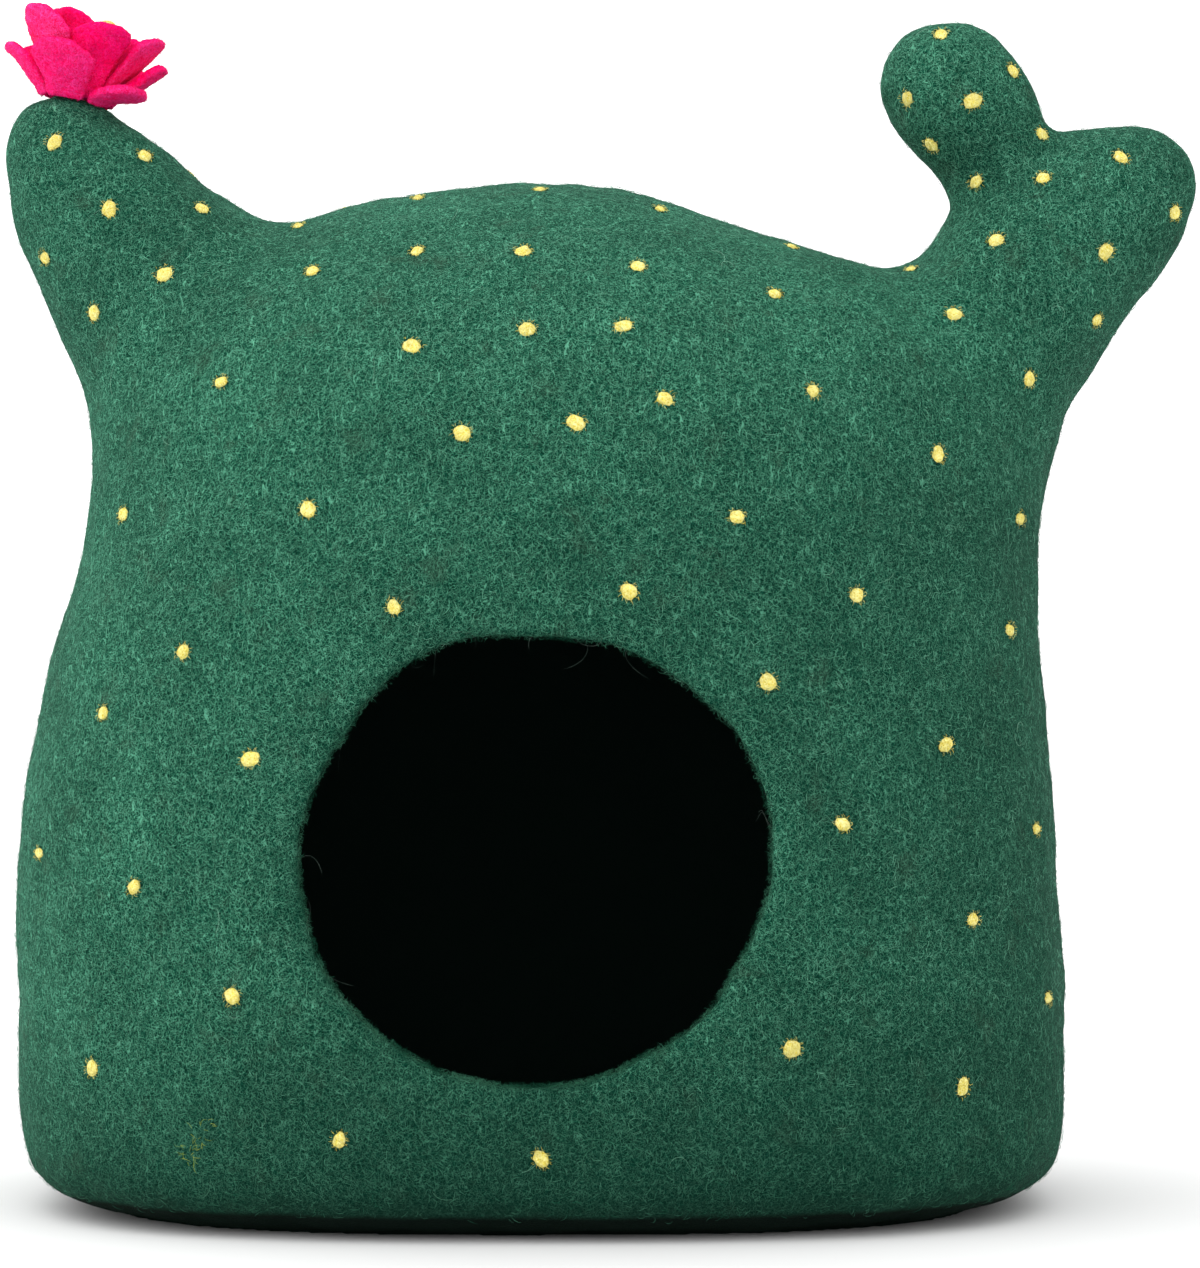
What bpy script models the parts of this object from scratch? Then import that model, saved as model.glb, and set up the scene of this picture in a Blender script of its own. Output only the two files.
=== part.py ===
"""Felt cat cave shaped like a round-shouldered cactus, with a pink felt flower on one arm.

Metres. X points right, the doorway faces -Y and Z points up. The base rests on z = 0, and the
origin is the middle of the base.
"""

from collections import namedtuple
from math import cos, pi, radians, sin, sqrt

import bmesh
import bpy
from mathutils import Matrix, Vector

# Felt
WALL = 0.008
PETAL_THICKNESS = 0.0034

# Body
FOOT_RADIUS = 0.030  # rounding between the wall and the base
FOOT_STEPS = 6
SECTION_POINTS = 72
BodySection = namedtuple("BodySection", "z left right front back square")
BODY = (
    BodySection(0.030, 0.209, 0.212, 0.170, 0.170, 2.7),
    BodySection(0.080, 0.211, 0.213, 0.173, 0.173, 2.7),
    BodySection(0.130, 0.212, 0.210, 0.174, 0.174, 2.6),
    BodySection(0.180, 0.207, 0.206, 0.172, 0.172, 2.5),
    BodySection(0.230, 0.195, 0.203, 0.167, 0.167, 2.45),
    BodySection(0.260, 0.186, 0.203, 0.162, 0.162, 2.35),
    BodySection(0.290, 0.182, 0.203, 0.154, 0.154, 2.25),
    BodySection(0.325, 0.182, 0.202, 0.140, 0.140, 2.15),
    BodySection(0.355, 0.168, 0.180, 0.120, 0.120, 2.1),
    BodySection(0.375, 0.148, 0.150, 0.101, 0.101, 2.0),
    BodySection(0.391, 0.118, 0.101, 0.079, 0.079, 2.0),
    BodySection(0.401, 0.094, 0.072, 0.060, 0.060, 2.0),
    BodySection(0.409, 0.062, 0.047, 0.039, 0.039, 2.0),
    BodySection(0.414, 0.018, 0.028, 0.016, 0.016, 2.0),
)
BODY_STEPS = 4  # level sections worked out for each row

# Arms: a row for each round section along the arm, from its root in the body to its tip
Section = namedtuple("Section", "x z radius depth")
LEFT_ARM = (
    Section(-0.098, 0.306, 0.078, 0.108),
    Section(-0.136, 0.350, 0.055, 0.071),
    Section(-0.167, 0.385, 0.040, 0.050),
    Section(-0.188, 0.410, 0.031, 0.036),
    Section(-0.195, 0.428, 0.025, 0.026),
)
RIGHT_ARM = (
    Section(0.134, 0.300, 0.070, 0.102),
    Section(0.158, 0.325, 0.056, 0.080),
    Section(0.188, 0.361, 0.043, 0.056),
    Section(0.224, 0.397, 0.037, 0.042),
    Section(0.243, 0.413, 0.027, 0.029),
)
UPPER_LOBE = (
    Section(0.197, 0.364, 0.043, 0.058),
    Section(0.201, 0.397, 0.026, 0.033),
    Section(0.187, 0.425, 0.023, 0.025),
    Section(0.169, 0.451, 0.031, 0.031),
)
LEFT_HOLLOW = 2  # sections at the root of each arm that are hollow; the rest is solid felt
RIGHT_HOLLOW = 2
ARM_STEPS = 3  # round sections worked out for each row
ARM_BALL_DETAIL = 3  # subdivisions of the balls that the skin is wrapped round

# Doorway: how far its edge stands from its middle, at angles going round from +X towards +Z
DOOR_X = 0.001
DOOR_Z = 0.145
DoorPoint = namedtuple("DoorPoint", "angle reach")
DOOR = (
    DoorPoint(0, 0.0875),
    DoorPoint(30, 0.0870),
    DoorPoint(60, 0.0847),
    DoorPoint(90, 0.0835),
    DoorPoint(120, 0.0872),
    DoorPoint(150, 0.0862),
    DoorPoint(180, 0.0890),
    DoorPoint(210, 0.0895),
    DoorPoint(240, 0.0865),
    DoorPoint(270, 0.0840),
    DoorPoint(300, 0.0835),
    DoorPoint(330, 0.0842),
)
DOOR_STEP = 5  # degrees between the corners of the cutter's outline

# How finely the felt form is worked out, and how often its joins and its rim are smoothed
GRAIN = 0.004
FINE_GRAIN = 0.003
JOIN_PASSES = 14
RIM_PASSES = 6
SHELL_FACES = 0.030  # share of the fine form's faces that the shell keeps
MARGIN = 0.020  # how far the cutters run past what they cut

# Flower: rings of petals round a stem. A ring's feet stand at a distance from the flower's axis,
# and lower down the round tip of the arm the farther out they are. A petal's azimuth goes round
# the axis from +X towards +Y. It leans out from the axis, and fills at most its own share of the
# turn between its neighbours in the ring.
FLOWER_X = -0.1897
FLOWER_Z = 0.4508
FLOWER_TILT = 12  # towards +X
FOOT_LEAN = 18
Petal = namedtuple("Petal", "azimuth lean length width")
Ring = namedtuple("Ring", "name foot drop petals")
RINGS = (
    Ring("inner", 0.0061, 0.0000, (
        Petal(156, 17, 0.0350, 0.028),
        Petal(-122, 15, 0.0345, 0.028),
        Petal(44, 19, 0.0325, 0.030),
    )),
    Ring("middle", 0.0100, 0.0008, (
        Petal(-140, 31, 0.0372, 0.032),
        Petal(-66, 27, 0.0330, 0.033),
        Petal(-8, 36, 0.0355, 0.033),
        Petal(58, 29, 0.0330, 0.030),
        Petal(120, 21, 0.0368, 0.036),
    )),
    Ring("outer", 0.0138, 0.0026, (
        Petal(-168, 50, 0.0255, 0.027),
        Petal(-106, 43, 0.0275, 0.031),
        Petal(-38, 76, 0.0225, 0.021),
        Petal(2, 46, 0.0290, 0.030),
        Petal(62, 50, 0.0300, 0.028),
        Petal(130, 50, 0.0300, 0.028),
    )),
)
PETAL_BEND = 0.35  # share of its length over which a petal bends from the foot's lean to its own
PETAL_BROADEST = 0.6  # share of its length at which a petal is broadest
PETAL_FOOT_WIDTH = 0.60  # shares of its width
PETAL_TIP_WIDTH = 0.32
PETAL_TIP_POWER = 2.4  # higher for a blunter tip
PETAL_EDGE = 0.0009
PETAL_ROWS = 9
PETAL_COLUMNS = 6
ROW_POWER = 1.4  # above 1 crowds a petal's rows towards its tip
PETAL_GAP = 0.0008
CENTRE_RADIUS = 0.0036
CENTRE_TOP_RADIUS = 0.0056
CENTRE_FOOT = 0.0006
CENTRE_TILT = 13
CENTRE_HEIGHT = 0.0335
CENTRE_STEPS = 14
CENTRE_TOP_STEPS = 6


def clear_scene():
    for obj in list(bpy.data.objects):
        bpy.data.objects.remove(obj)


def new_collection(name):
    collection = bpy.data.collections.new(name)
    bpy.context.scene.collection.children.link(collection)
    return collection


def felt(name, colour):
    """A matt felt material of one colour."""
    material = bpy.data.materials.new(name)
    material.use_nodes = True
    shader = material.node_tree.nodes["Principled BSDF"]
    shader.inputs["Base Color"].default_value = (*colour, 1)
    shader.inputs["Roughness"].default_value = 0.95
    shader.inputs["Metallic"].default_value = 0
    return material


def new_object(name, bm, collection, material=None):
    """An object that holds the bmesh, with its faces turned outwards."""
    bmesh.ops.recalc_face_normals(bm, faces=bm.faces)
    mesh = bpy.data.meshes.new(name)
    bm.to_mesh(mesh)
    bm.free()
    mesh.shade_smooth()
    obj = bpy.data.objects.new(name, mesh)
    collection.objects.link(obj)
    if material:
        mesh.materials.append(material)
    return obj


def as_cutter(obj):
    obj.hide_render = True
    obj.display_type = "WIRE"
    return obj


def rounded(value, power):
    """The value with its size raised to the power and its sign kept."""
    return abs(value) ** power * (1 if value >= 0 else -1)


def curve(t, a, b, c, d):
    """A point between b and c on the smooth curve that passes through all four values."""
    square = (2 * a - 5 * b + 4 * c - d) * t**2
    cube = (3 * b - a - 3 * c + d) * t**3
    return b + ((c - a) * t + square + cube) / 2


def in_between(rows, steps):
    """The rows, with others between them on a smooth curve through them."""
    last = len(rows) - 1
    found = []
    for i in range(last):
        four = [rows[min(max(k, 0), last)] for k in (i - 1, i, i + 1, i + 2)]
        for step in range(steps):
            values = (curve(step / steps, *column) for column in zip(*four))
            found.append(type(rows[0])(*values))
    return found + [rows[last]]


def body_ring(bm, section, z, inset):
    """A level section of the body: a squarish oval, drawn in by the inset."""
    ring = []
    for i in range(SECTION_POINTS):
        turn = 2 * pi * i / SECTION_POINTS
        across = rounded(cos(turn), 2 / section.square)
        along = rounded(sin(turn), 2 / section.square)
        side = section.right if across > 0 else section.left
        face = section.back if along > 0 else section.front
        ring.append(bm.verts.new(((side - inset) * across, (face - inset) * along, z)))
    return ring


def add_body(bm):
    """Lofts the body's sections, with a rounded foot below the first of them."""
    rings = []
    for step in range(FOOT_STEPS):
        turn = radians(90) * step / FOOT_STEPS
        inset = FOOT_RADIUS * (1 - sin(turn))
        rings.append(body_ring(bm, BODY[0], FOOT_RADIUS * (1 - cos(turn)), inset))
    for section in in_between(BODY, BODY_STEPS):
        rings.append(body_ring(bm, section, section.z, 0))
    for low, high in zip(rings, rings[1:]):
        for i in range(SECTION_POINTS):
            j = (i + 1) % SECTION_POINTS
            bm.faces.new((low[i], low[j], high[j], high[i]))
    bm.faces.new(reversed(rings[0]))
    bm.faces.new(rings[-1])


def add_arm(bm, sections):
    """Wraps each pair of neighbouring round sections in one taut skin."""
    sections = in_between(sections, ARM_STEPS)
    for pair in zip(sections, sections[1:]):
        corners = []
        for section in pair:
            place = Matrix.Translation((section.x, 0, section.z))
            stretch = Matrix.Diagonal((section.radius, section.depth, section.radius, 1))
            ball = bmesh.new()
            bmesh.ops.create_icosphere(ball, subdivisions=ARM_BALL_DETAIL, radius=1, matrix=place @ stretch)
            corners += [bm.verts.new(vert.co) for vert in ball.verts]
            ball.free()
        hull = bmesh.ops.convex_hull(bm, input=corners)
        inside = {item for item in hull["geom_interior"] if isinstance(item, bmesh.types.BMVert)}
        bmesh.ops.delete(bm, geom=list(inside), context="VERTS")


def soft_form(name, collection, arms, material=None):
    """The body and the arms grown into one smooth form."""
    bm = bmesh.new()
    add_body(bm)
    for arm in arms:
        add_arm(bm, arm)
    form = new_object(name, bm, collection, material)
    remesh = form.modifiers.new("one skin", "REMESH")
    remesh.mode = "VOXEL"
    remesh.voxel_size = GRAIN
    smooth = form.modifiers.new("soft joins", "SMOOTH")
    smooth.factor = 0.5
    smooth.iterations = JOIN_PASSES
    return form


def cut(obj, cutter, name):
    boolean = obj.modifiers.new(name, "BOOLEAN")
    boolean.operation = "DIFFERENCE"
    boolean.object = cutter


def door_reach(angle):
    """The doorway's reach at an angle in degrees, eased between its rows."""
    step = 360 / len(DOOR)
    before = int(angle // step)
    share = angle / step - before
    ease = (1 - cos(pi * share)) / 2
    first = DOOR[before % len(DOOR)]
    second = DOOR[(before + 1) % len(DOOR)]
    return first.reach * (1 - ease) + second.reach * ease


def door_cutter(collection):
    """A prism of the doorway's outline that runs from the middle of the cave out past its front."""
    bm = bmesh.new()
    ends = []
    for y in (0, -(BODY[2].front + MARGIN)):
        ring = []
        for angle in range(0, 360, DOOR_STEP):
            reach = door_reach(angle)
            x = DOOR_X + reach * cos(radians(angle))
            z = DOOR_Z + reach * sin(radians(angle))
            ring.append(bm.verts.new((x, y, z)))
        ends.append(ring)
    inner, outer = ends
    for i in range(len(inner)):
        j = (i + 1) % len(inner)
        bm.faces.new((inner[i], inner[j], outer[j], outer[i]))
    bm.faces.new(inner)
    bm.faces.new(outer)
    return as_cutter(new_object("doorway_cutter", bm, collection))


def ground_cutter(collection):
    """A block under z = 0, which leaves the base flat."""
    side = 2 * (BODY[1].right + MARGIN)
    bm = bmesh.new()
    size = Matrix.Diagonal((side, side, MARGIN, 1))
    bmesh.ops.create_cube(bm, size=1, matrix=Matrix.Translation((0, 0, -MARGIN / 2)) @ size)
    return as_cutter(new_object("ground_cutter", bm, collection))


def hollow_cutter(collection):
    """The space inside the cave: its form without the arms' tips, a wall's thickness in."""
    roots = (LEFT_ARM[:LEFT_HOLLOW], RIGHT_ARM[:RIGHT_HOLLOW])
    hollow = soft_form("hollow_cutter", collection, roots)
    inwards = hollow.modifiers.new("wall", "DISPLACE")
    inwards.direction = "NORMAL"
    inwards.mid_level = 0
    inwards.strength = -WALL
    return as_cutter(hollow)


def cave_shell(parts, cutters):
    """The seamless felt shell: base, walls, dome and arms, with the doorway through its front."""
    green = felt("green_felt", (0.025, 0.110, 0.072))
    shell = soft_form("cave_shell", parts, (LEFT_ARM, RIGHT_ARM, UPPER_LOBE), green)
    cut(shell, hollow_cutter(cutters), "hollow")
    cut(shell, door_cutter(cutters), "doorway")
    remesh = shell.modifiers.new("even felt", "REMESH")
    remesh.mode = "VOXEL"
    remesh.voxel_size = FINE_GRAIN
    rim = shell.modifiers.new("soft rim", "SMOOTH")
    rim.factor = 0.5
    rim.iterations = RIM_PASSES
    fewer = shell.modifiers.new("fewer faces", "DECIMATE")
    fewer.ratio = SHELL_FACES
    cut(shell, ground_cutter(cutters), "flat base")
    return shell


def petal_width(share, width):
    """A petal's full width at a share of its length: broad past the middle, round at the tip."""
    rise = sin(radians(90) * min(1, share / PETAL_BROADEST))
    opening = PETAL_FOOT_WIDTH + (1 - PETAL_FOOT_WIDTH) * rise
    tip = max(0, (share - PETAL_BROADEST) / (1 - PETAL_BROADEST))
    return width * opening * sqrt(1 - (1 - PETAL_TIP_WIDTH**2) * tip**PETAL_TIP_POWER)


def add_petal(name, petal, ring, turns, axis, collection, material):
    """A felt petal: a sheet that leans out from the flower's axis and curves round it.

    The turns are how far it may reach round the axis to each side, in radians.
    """
    bm = bmesh.new()
    radius = ring.foot
    height = -ring.drop
    shares = [1 - (1 - row / (PETAL_ROWS - 1)) ** ROW_POWER for row in range(PETAL_ROWS)]
    lines = []
    for before, share in zip([0] + shares, shares):
        lean = radians(FOOT_LEAN + (petal.lean - FOOT_LEAN) * min(1, share / PETAL_BEND))
        radius += (share - before) * petal.length * sin(lean)
        height += (share - before) * petal.length * cos(lean)
        wanted = petal_width(share, petal.width) / 2 / radius
        right, left = (min(wanted, turn - PETAL_GAP / 2 / radius) for turn in turns)
        line = []
        for column in range(PETAL_COLUMNS + 1):
            side = 2 * column / PETAL_COLUMNS - 1
            turn = side * (left if side > 0 else right)
            line.append(bm.verts.new((radius * cos(turn), radius * sin(turn), height)))
        lines.append(line)
    for low, high in zip(lines, lines[1:]):
        for i in range(PETAL_COLUMNS):
            bm.faces.new((low[i], low[i + 1], high[i + 1], high[i]))
    sheet = new_object(name, bm, collection, material)
    sheet.parent = axis
    sheet.rotation_euler.z = radians(petal.azimuth)
    solid = sheet.modifiers.new("felt thickness", "SOLIDIFY")
    solid.thickness = PETAL_THICKNESS
    solid.offset = 0
    solid.use_even_offset = True
    edge = sheet.modifiers.new("soft edge", "BEVEL")
    edge.width = PETAL_EDGE
    edge.segments = 1
    edge.limit_method = "ANGLE"
    edge.angle_limit = radians(50)
    return sheet


def add_flower_centre(parent, collection):
    """The yellow stem in the middle, turned about its axis, wider at its round top."""
    yellow = felt("yellow_felt", (0.85, 0.66, 0.09))
    profile = [(0, CENTRE_HEIGHT)]
    for step in range(1, CENTRE_TOP_STEPS + 1):
        turn = radians(90) * step / CENTRE_TOP_STEPS
        out = CENTRE_TOP_RADIUS * sin(turn)
        profile.append((out, CENTRE_HEIGHT - CENTRE_TOP_RADIUS * (1 - cos(turn))))
    profile += [(CENTRE_RADIUS, CENTRE_HEIGHT / 2), (CENTRE_RADIUS, 2 * CENTRE_FOOT)]
    profile += [(CENTRE_RADIUS - CENTRE_FOOT, CENTRE_FOOT), (0, CENTRE_FOOT)]
    bm = bmesh.new()
    verts = [bm.verts.new((x, 0, z)) for x, z in profile]
    for pair in zip(verts, verts[1:]):
        bm.edges.new(pair)
    stem = new_object("flower_centre", bm, collection, yellow)
    stem.parent = parent
    stem.rotation_euler.y = radians(CENTRE_TILT)
    screw = stem.modifiers.new("turned", "SCREW")
    screw.steps = CENTRE_STEPS
    screw.render_steps = CENTRE_STEPS
    screw.use_merge_vertices = True
    screw.merge_threshold = 0.00001
    return stem


def half_turns(petals, index):
    """Half of the turn from a petal to its neighbour before and after it, in radians."""
    here = petals[index].azimuth
    before = (here - petals[index - 1].azimuth) % 360
    after = (petals[(index + 1) % len(petals)].azimuth - here) % 360
    return radians(before / 2), radians(after / 2)


def flower(collection):
    """Rings of petals round a yellow centre, on the left arm's tip."""
    axis = bpy.data.objects.new("flower_axis", None)
    collection.objects.link(axis)
    axis.location = Vector((FLOWER_X, 0, FLOWER_Z))
    axis.rotation_euler.y = radians(FLOWER_TILT)
    pink = felt("pink_felt", (0.78, 0.006, 0.125))
    for ring in RINGS:
        for index, petal in enumerate(ring.petals):
            name = f"petal_{ring.name}_{index + 1}"
            turns = half_turns(ring.petals, index)
            add_petal(name, petal, ring, turns, axis, collection, pink)
    add_flower_centre(axis, collection)


clear_scene()
parts = new_collection("felt_cat_cave")
cutters = new_collection("cutters")
cutters.hide_render = True
cave_shell(parts, cutters)
flower(parts)
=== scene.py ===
import math

import bpy
import numpy as np
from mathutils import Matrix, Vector, noise
from mathutils.bvhtree import BVHTree


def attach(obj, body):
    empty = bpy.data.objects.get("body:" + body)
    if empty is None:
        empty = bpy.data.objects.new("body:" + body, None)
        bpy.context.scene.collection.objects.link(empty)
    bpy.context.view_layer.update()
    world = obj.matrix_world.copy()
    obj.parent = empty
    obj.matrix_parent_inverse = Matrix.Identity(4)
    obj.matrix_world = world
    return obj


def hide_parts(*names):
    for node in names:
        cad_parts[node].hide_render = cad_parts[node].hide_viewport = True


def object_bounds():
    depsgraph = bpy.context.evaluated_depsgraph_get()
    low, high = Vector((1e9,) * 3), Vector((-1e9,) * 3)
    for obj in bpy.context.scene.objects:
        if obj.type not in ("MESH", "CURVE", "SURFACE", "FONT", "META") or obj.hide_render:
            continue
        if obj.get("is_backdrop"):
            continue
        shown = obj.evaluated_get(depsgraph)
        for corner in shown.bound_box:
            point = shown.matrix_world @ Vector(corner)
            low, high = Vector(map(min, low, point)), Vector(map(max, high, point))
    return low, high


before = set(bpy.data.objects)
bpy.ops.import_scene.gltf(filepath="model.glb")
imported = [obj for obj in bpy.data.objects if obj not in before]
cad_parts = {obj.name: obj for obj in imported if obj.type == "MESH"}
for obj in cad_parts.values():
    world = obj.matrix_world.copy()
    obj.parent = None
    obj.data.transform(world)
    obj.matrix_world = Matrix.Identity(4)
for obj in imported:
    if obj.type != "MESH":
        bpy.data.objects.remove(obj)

CAD_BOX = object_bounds()

# ---------------------------------------------------------------- sizes and places
# Lengths are in metres. Pixels are those of the 1200 x 1268 photograph.

# The photograph's frame and the level camera that fits it.
PHOTO_CENTRE = (600.0, 634.0)
PHOTO_WIDTH = 1200.0
FOCAL_PIXELS = 4878.0
SENSOR_WIDTH = 36.0
CAMERA_AT = Vector((0.0246, -2.0, 0.230))
# The width of a pixel in the upright plane through the object's middle.
PIXEL = -CAMERA_AT.y / FOCAL_PIXELS

# The felt shell.
SHELL_VOXEL = 0.0028
SHELL_SMOOTHING = 10
SHELL_TRIANGLES = 170000
# Felt that is no higher than this above the floor rests on it. Loose fibres stay clear of the floor.
RESTING_HEIGHT = 0.0012
FLOOR_CLEAR = 0.0004
# The wall turns under at the foot: the height at which that begins, how far it goes in at the floor, and
# the base's half width and half depth.
FOOT_HEIGHT = 0.018
FOOT_TURN = 0.013
FOOT_REACH = (0.215, 0.172)
# Felt that one of these points in the hollow can see is on the inside. Sight starts a little off the felt.
HOLLOW_MIDDLES = (Vector((0.0, 0.0, 0.18)), Vector((-0.13, 0.0, 0.30)), Vector((0.15, 0.0, 0.29)))
SIGHT_START = 0.0012
# The doorway: the middle of its opening, across and up, and about how far its edge is from there. Its rim
# reaches further, and lies in front of RIM_BACK.
DOORWAY = (0.0005, 0.1444)
DOORWAY_RADIUS = 0.09
RIM_REACH = 0.115
RIM_BACK = -0.10
# Felt that faces the opening by more than this, and the back by less, is the rim and not the inside.
RIM_FACES_IN = 0.2
RIM_FACES_BACK = 0.45

# The weights with which a value is averaged with its neighbours'.
OWN_WEIGHT = 0.4
NEIGHBOUR_WEIGHT = 0.6

# Lumps in the felt: wavelength and height.
SHELL_LUMPS = ((0.034, 0.0013), (0.011, 0.00055), (0.0058, 0.00025))
PETAL_LUMPS = ((0.012, 0.0010), (0.0045, 0.00034), (0.0018, 0.00020))
CENTRE_LUMPS = ((0.004, 0.0004), (0.0018, 0.0002))

# Hand-shaped places in the outline: the photograph's column and row, a radius, and a move to the right
# and down, all in its pixels.
PRESSED = (
    (1032, 92, 34, 7, 0), (1062, 128, 24, -2, -5), (900, 138, 38, 8, 2), (957, 200, 26, -6, 0),
    (912, 258, 32, 10, 5), (745, 236, 105, 0, 4), (405, 194, 85, 0, 3), (150, 148, 48, 4, -10),
    (82, 430, 80, -3, 0), (56, 312, 50, -3, 0), (1104, 362, 36, -9, 0), (1044, 490, 60, 6, 0),
    (1047, 740, 75, 4, 0), (1190, 165, 34, 3, -1), (900, 45, 42, -3, -3), (14, 892, 30, 3, 0),
)

# Painted shade in creases and a fold of the right arm: column, row and radius in pixels, and amount.
CREASE_SHADE = ((966, 156, 30, 0.30), (1002, 300, 15, 0.18), (1022, 309, 15, 0.18), (1042, 317, 15, 0.14))

# Zones of the shell with painted shade, where the walls face less of the light from above and the left,
# each with the height at which it starts or ends and the height over which it fades. The arms' zone also
# starts at a distance from the form's middle.
WALL_END = (0.345, 0.08)
LOWER_WALL_END = (0.19, 0.10)
FOOT_END = (0.096, 0.09)
ARMS_START = (0.30, 0.05)
ARMS_END = (0.455, 0.03)
FORM_MIDDLE = 0.02
ARMS_BESIDE = (0.13, 0.03)
# How dark each zone's painted shade is, from 0 to 1, where it faces the camera, and how that changes as the
# felt turns.
WALL_DARK = 0.27
WALL_RIGHT_DARKER = 0.16
WALL_LEFT_LIGHTER = 0.26
LOWER_WALL_DARK = 0.03
ARMS_DARK = 0.12
ARMS_RIGHT_DARKER = 0.10
FOOT_DARK = 0.43
FOOT_RIGHT_LIGHTER = 0.25
FOOT_SIDES_LIGHTER = 0.10
UNDERSIDE_DARK = 0.12
SHADE_PASSES = 12

# The flower.
FLOWER_FOOT = Vector((-0.1897, 0.0, 0.4508))
FLOWER_TILT = math.radians(12)
PETAL_VOXEL = 0.0009
PETAL_SMOOTHING = 4
CENTRE_VOXEL = 0.0007
CENTRE_SMOOTHING = 3

# The petals as cut from flat felt: length from foot to tip, and width.
PETAL_CUTS = {
    "inner": ((0.0350, 0.028), (0.0345, 0.028), (0.0325, 0.030)),
    "middle": ((0.0372, 0.032), (0.0330, 0.033), (0.0355, 0.033), (0.0330, 0.030), (0.0368, 0.036)),
    "outer": (
        (0.0255, 0.027), (0.0275, 0.031), (0.0225, 0.021), (0.0290, 0.030), (0.0300, 0.028),
        (0.0300, 0.028),
    ),
}

# How far each petal's outer side is painted pale, as painted sheen with pale fibre specks; the others less.
# A side counts as the outer one the more it faces away from the flower's axis and down it.
PALE_SIDE = "pale_side"
PALE_PETALS = {
    "middle_1": 0.9, "middle_3": 0.6, "outer_1": 0.7, "outer_2": 0.45, "outer_3": 0.6, "outer_4": 0.4,
}
PALE_OTHERS = 0.12
PALE_DOWNWARD = 0.35
PALE_CONTRAST = 1.6

# Needle-felted yellow tufts, by the pixel of the photograph that each one shows at.
TUFTS = {
    "left_arm": (
        (54, 142), (145, 156), (109, 209), (202, 208), (45, 258), (164, 274), (94, 313), (221, 382),
    ),
    "dome": (
        (298, 226), (418, 198), (540, 190), (660, 209), (417, 251), (523, 251), (312, 271), (638, 266),
        (792, 247), (775, 294), (412, 346), (527, 329), (623, 326), (813, 391), (665, 399), (576, 423),
        (462, 433),
    ),
    "right_arm": (
        (911, 269), (954, 314), (938, 454), (1029, 379), (1097, 320), (1106, 252), (996, 240), (976, 182),
        (1043, 178), (1042, 134), (1121, 157), (1175, 213), (931, 145), (973, 101), (907, 99), (1013, 71),
        (941, 34),
    ),
    "front": (
        (123, 514), (308, 509), (737, 517), (1020, 519), (629, 592), (394, 607), (857, 595), (1010, 630),
        (183, 652), (103, 713), (768, 682), (250, 759), (946, 745), (843, 824), (1036, 829), (39, 853),
        (134, 887), (973, 920), (232, 996), (1048, 998), (792, 1049), (92, 1068), (963, 1087), (339, 1140),
        (541, 1159),
    ),
}
TUFT_RADIUS = (0.0031, 0.0039)
TUFT_STRETCH = (0.88, 1.16)
TUFT_HEIGHT = 0.0009
TUFT_SINK = 0.0009
# A tuft's rings as shares of its radius, and its spokes.
TUFT_RINGS = (0.30, 0.58, 0.80, 0.94, 1.0)
TUFT_SPOKES = 18
# How uneven its outline is, as a share of its radius, and its top, as a share of its height.
TUFT_RAGGED = 0.24
TUFT_UNEVEN = 0.16
# Its points are dropped onto the felt from above, over this reach, and its underside closes below the edge.
TUFT_DROP = 0.006
TUFT_DROP_REACH = 0.014
TUFT_UNDERSIDE = 0.0006
# The felt's slope under a tuft is averaged over this radius.
SLOPE_RADIUS = 0.004
# Tufts on the turns of the form, which the camera sees at a slant, are needled longer up and down it.
LONG_TUFT_FACING = 0.65
LONGEST_TUFT = 1.45
# Fibres round each tuft: yellow ones, and dark ones of the felt that is drawn in with them, which also
# paint the shade in the dip round the tuft. They point outward, but for a slant, and curl.
TUFT_FIBRES = 26
HALO_FIBRES = 18
TUFT_FIBRE_SLANT = 1.2
TUFT_FIBRE_CURL = 1.2
# Tufts that the photograph doesn't show: how far apart they are, from ARM_HEIGHT up and below it, how many
# places are tried, the lowest place, and how far down the felt may face.
ARM_HEIGHT = 0.37
ARM_TUFT_SPACING = 0.036
BACK_TUFT_SPACING = 0.047
BACK_TUFT_TRIES = 2600
BACK_TUFT_LOWEST = 0.02
BACK_TUFT_FACES_DOWN = -0.5
# Felt that faces the camera by a share between these is at the photograph's outline, and gets none of them.
GRAZING = (-0.12, 0.26)
# Sight towards the camera starts a little off the felt.
TUFT_SIGHT_START = 0.002

# Loose fibres: how many of each, and the lowest place for the shell's.
FUZZ_PIECES = 3
FUZZ_EACH = 12900
FUZZ_LOWEST = 0.0095
RIM_FUZZ = 4800
RIM_HAIRS = 16
LONG_HAIRS = 170
PETAL_FUZZ = 560
# The weight of a petal's felt off its pale side in where its fibres stand.
PETAL_FUZZ_EVEN = 0.12
# Stray yellow-green fibres: the pixel in the middle of each bunch, how many, and how far they spread.
WISPS = ((188, 1154, 18), (196, 1138, 9), (204, 1126, 6))
WISP_SPREAD = 5.0
# A fibre's end sits this deep in the felt, its last ring is thinner, and one that stands up curves away.
FIBRE_ROOT = 0.0002
FIBRE_TIP = 0.8
STANDING_CURVE = 1.3

# The studio's light: how strong it is on average, and how much more of it comes from each way.
STUDIO_STRENGTH = 1.5
BRIGHT_WAY = (-0.52, -0.15, 0.45)
FLOOR_REACH = 30.0
FLOOR_TONE = (0.74, 0.76)

SEED = 20
rng = np.random.default_rng(SEED)


# ---------------------------------------------------------------- meshes

def new_object(name, mesh, material):
    mesh.materials.clear()
    mesh.materials.append(material)
    obj = bpy.data.objects.new(name, mesh)
    bpy.context.scene.collection.objects.link(obj)
    return obj


def mesh_from(name, points, faces):
    mesh = bpy.data.meshes.new(name)
    mesh.from_pydata(points.tolist(), [], faces.tolist())
    mesh.update()
    return mesh


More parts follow.
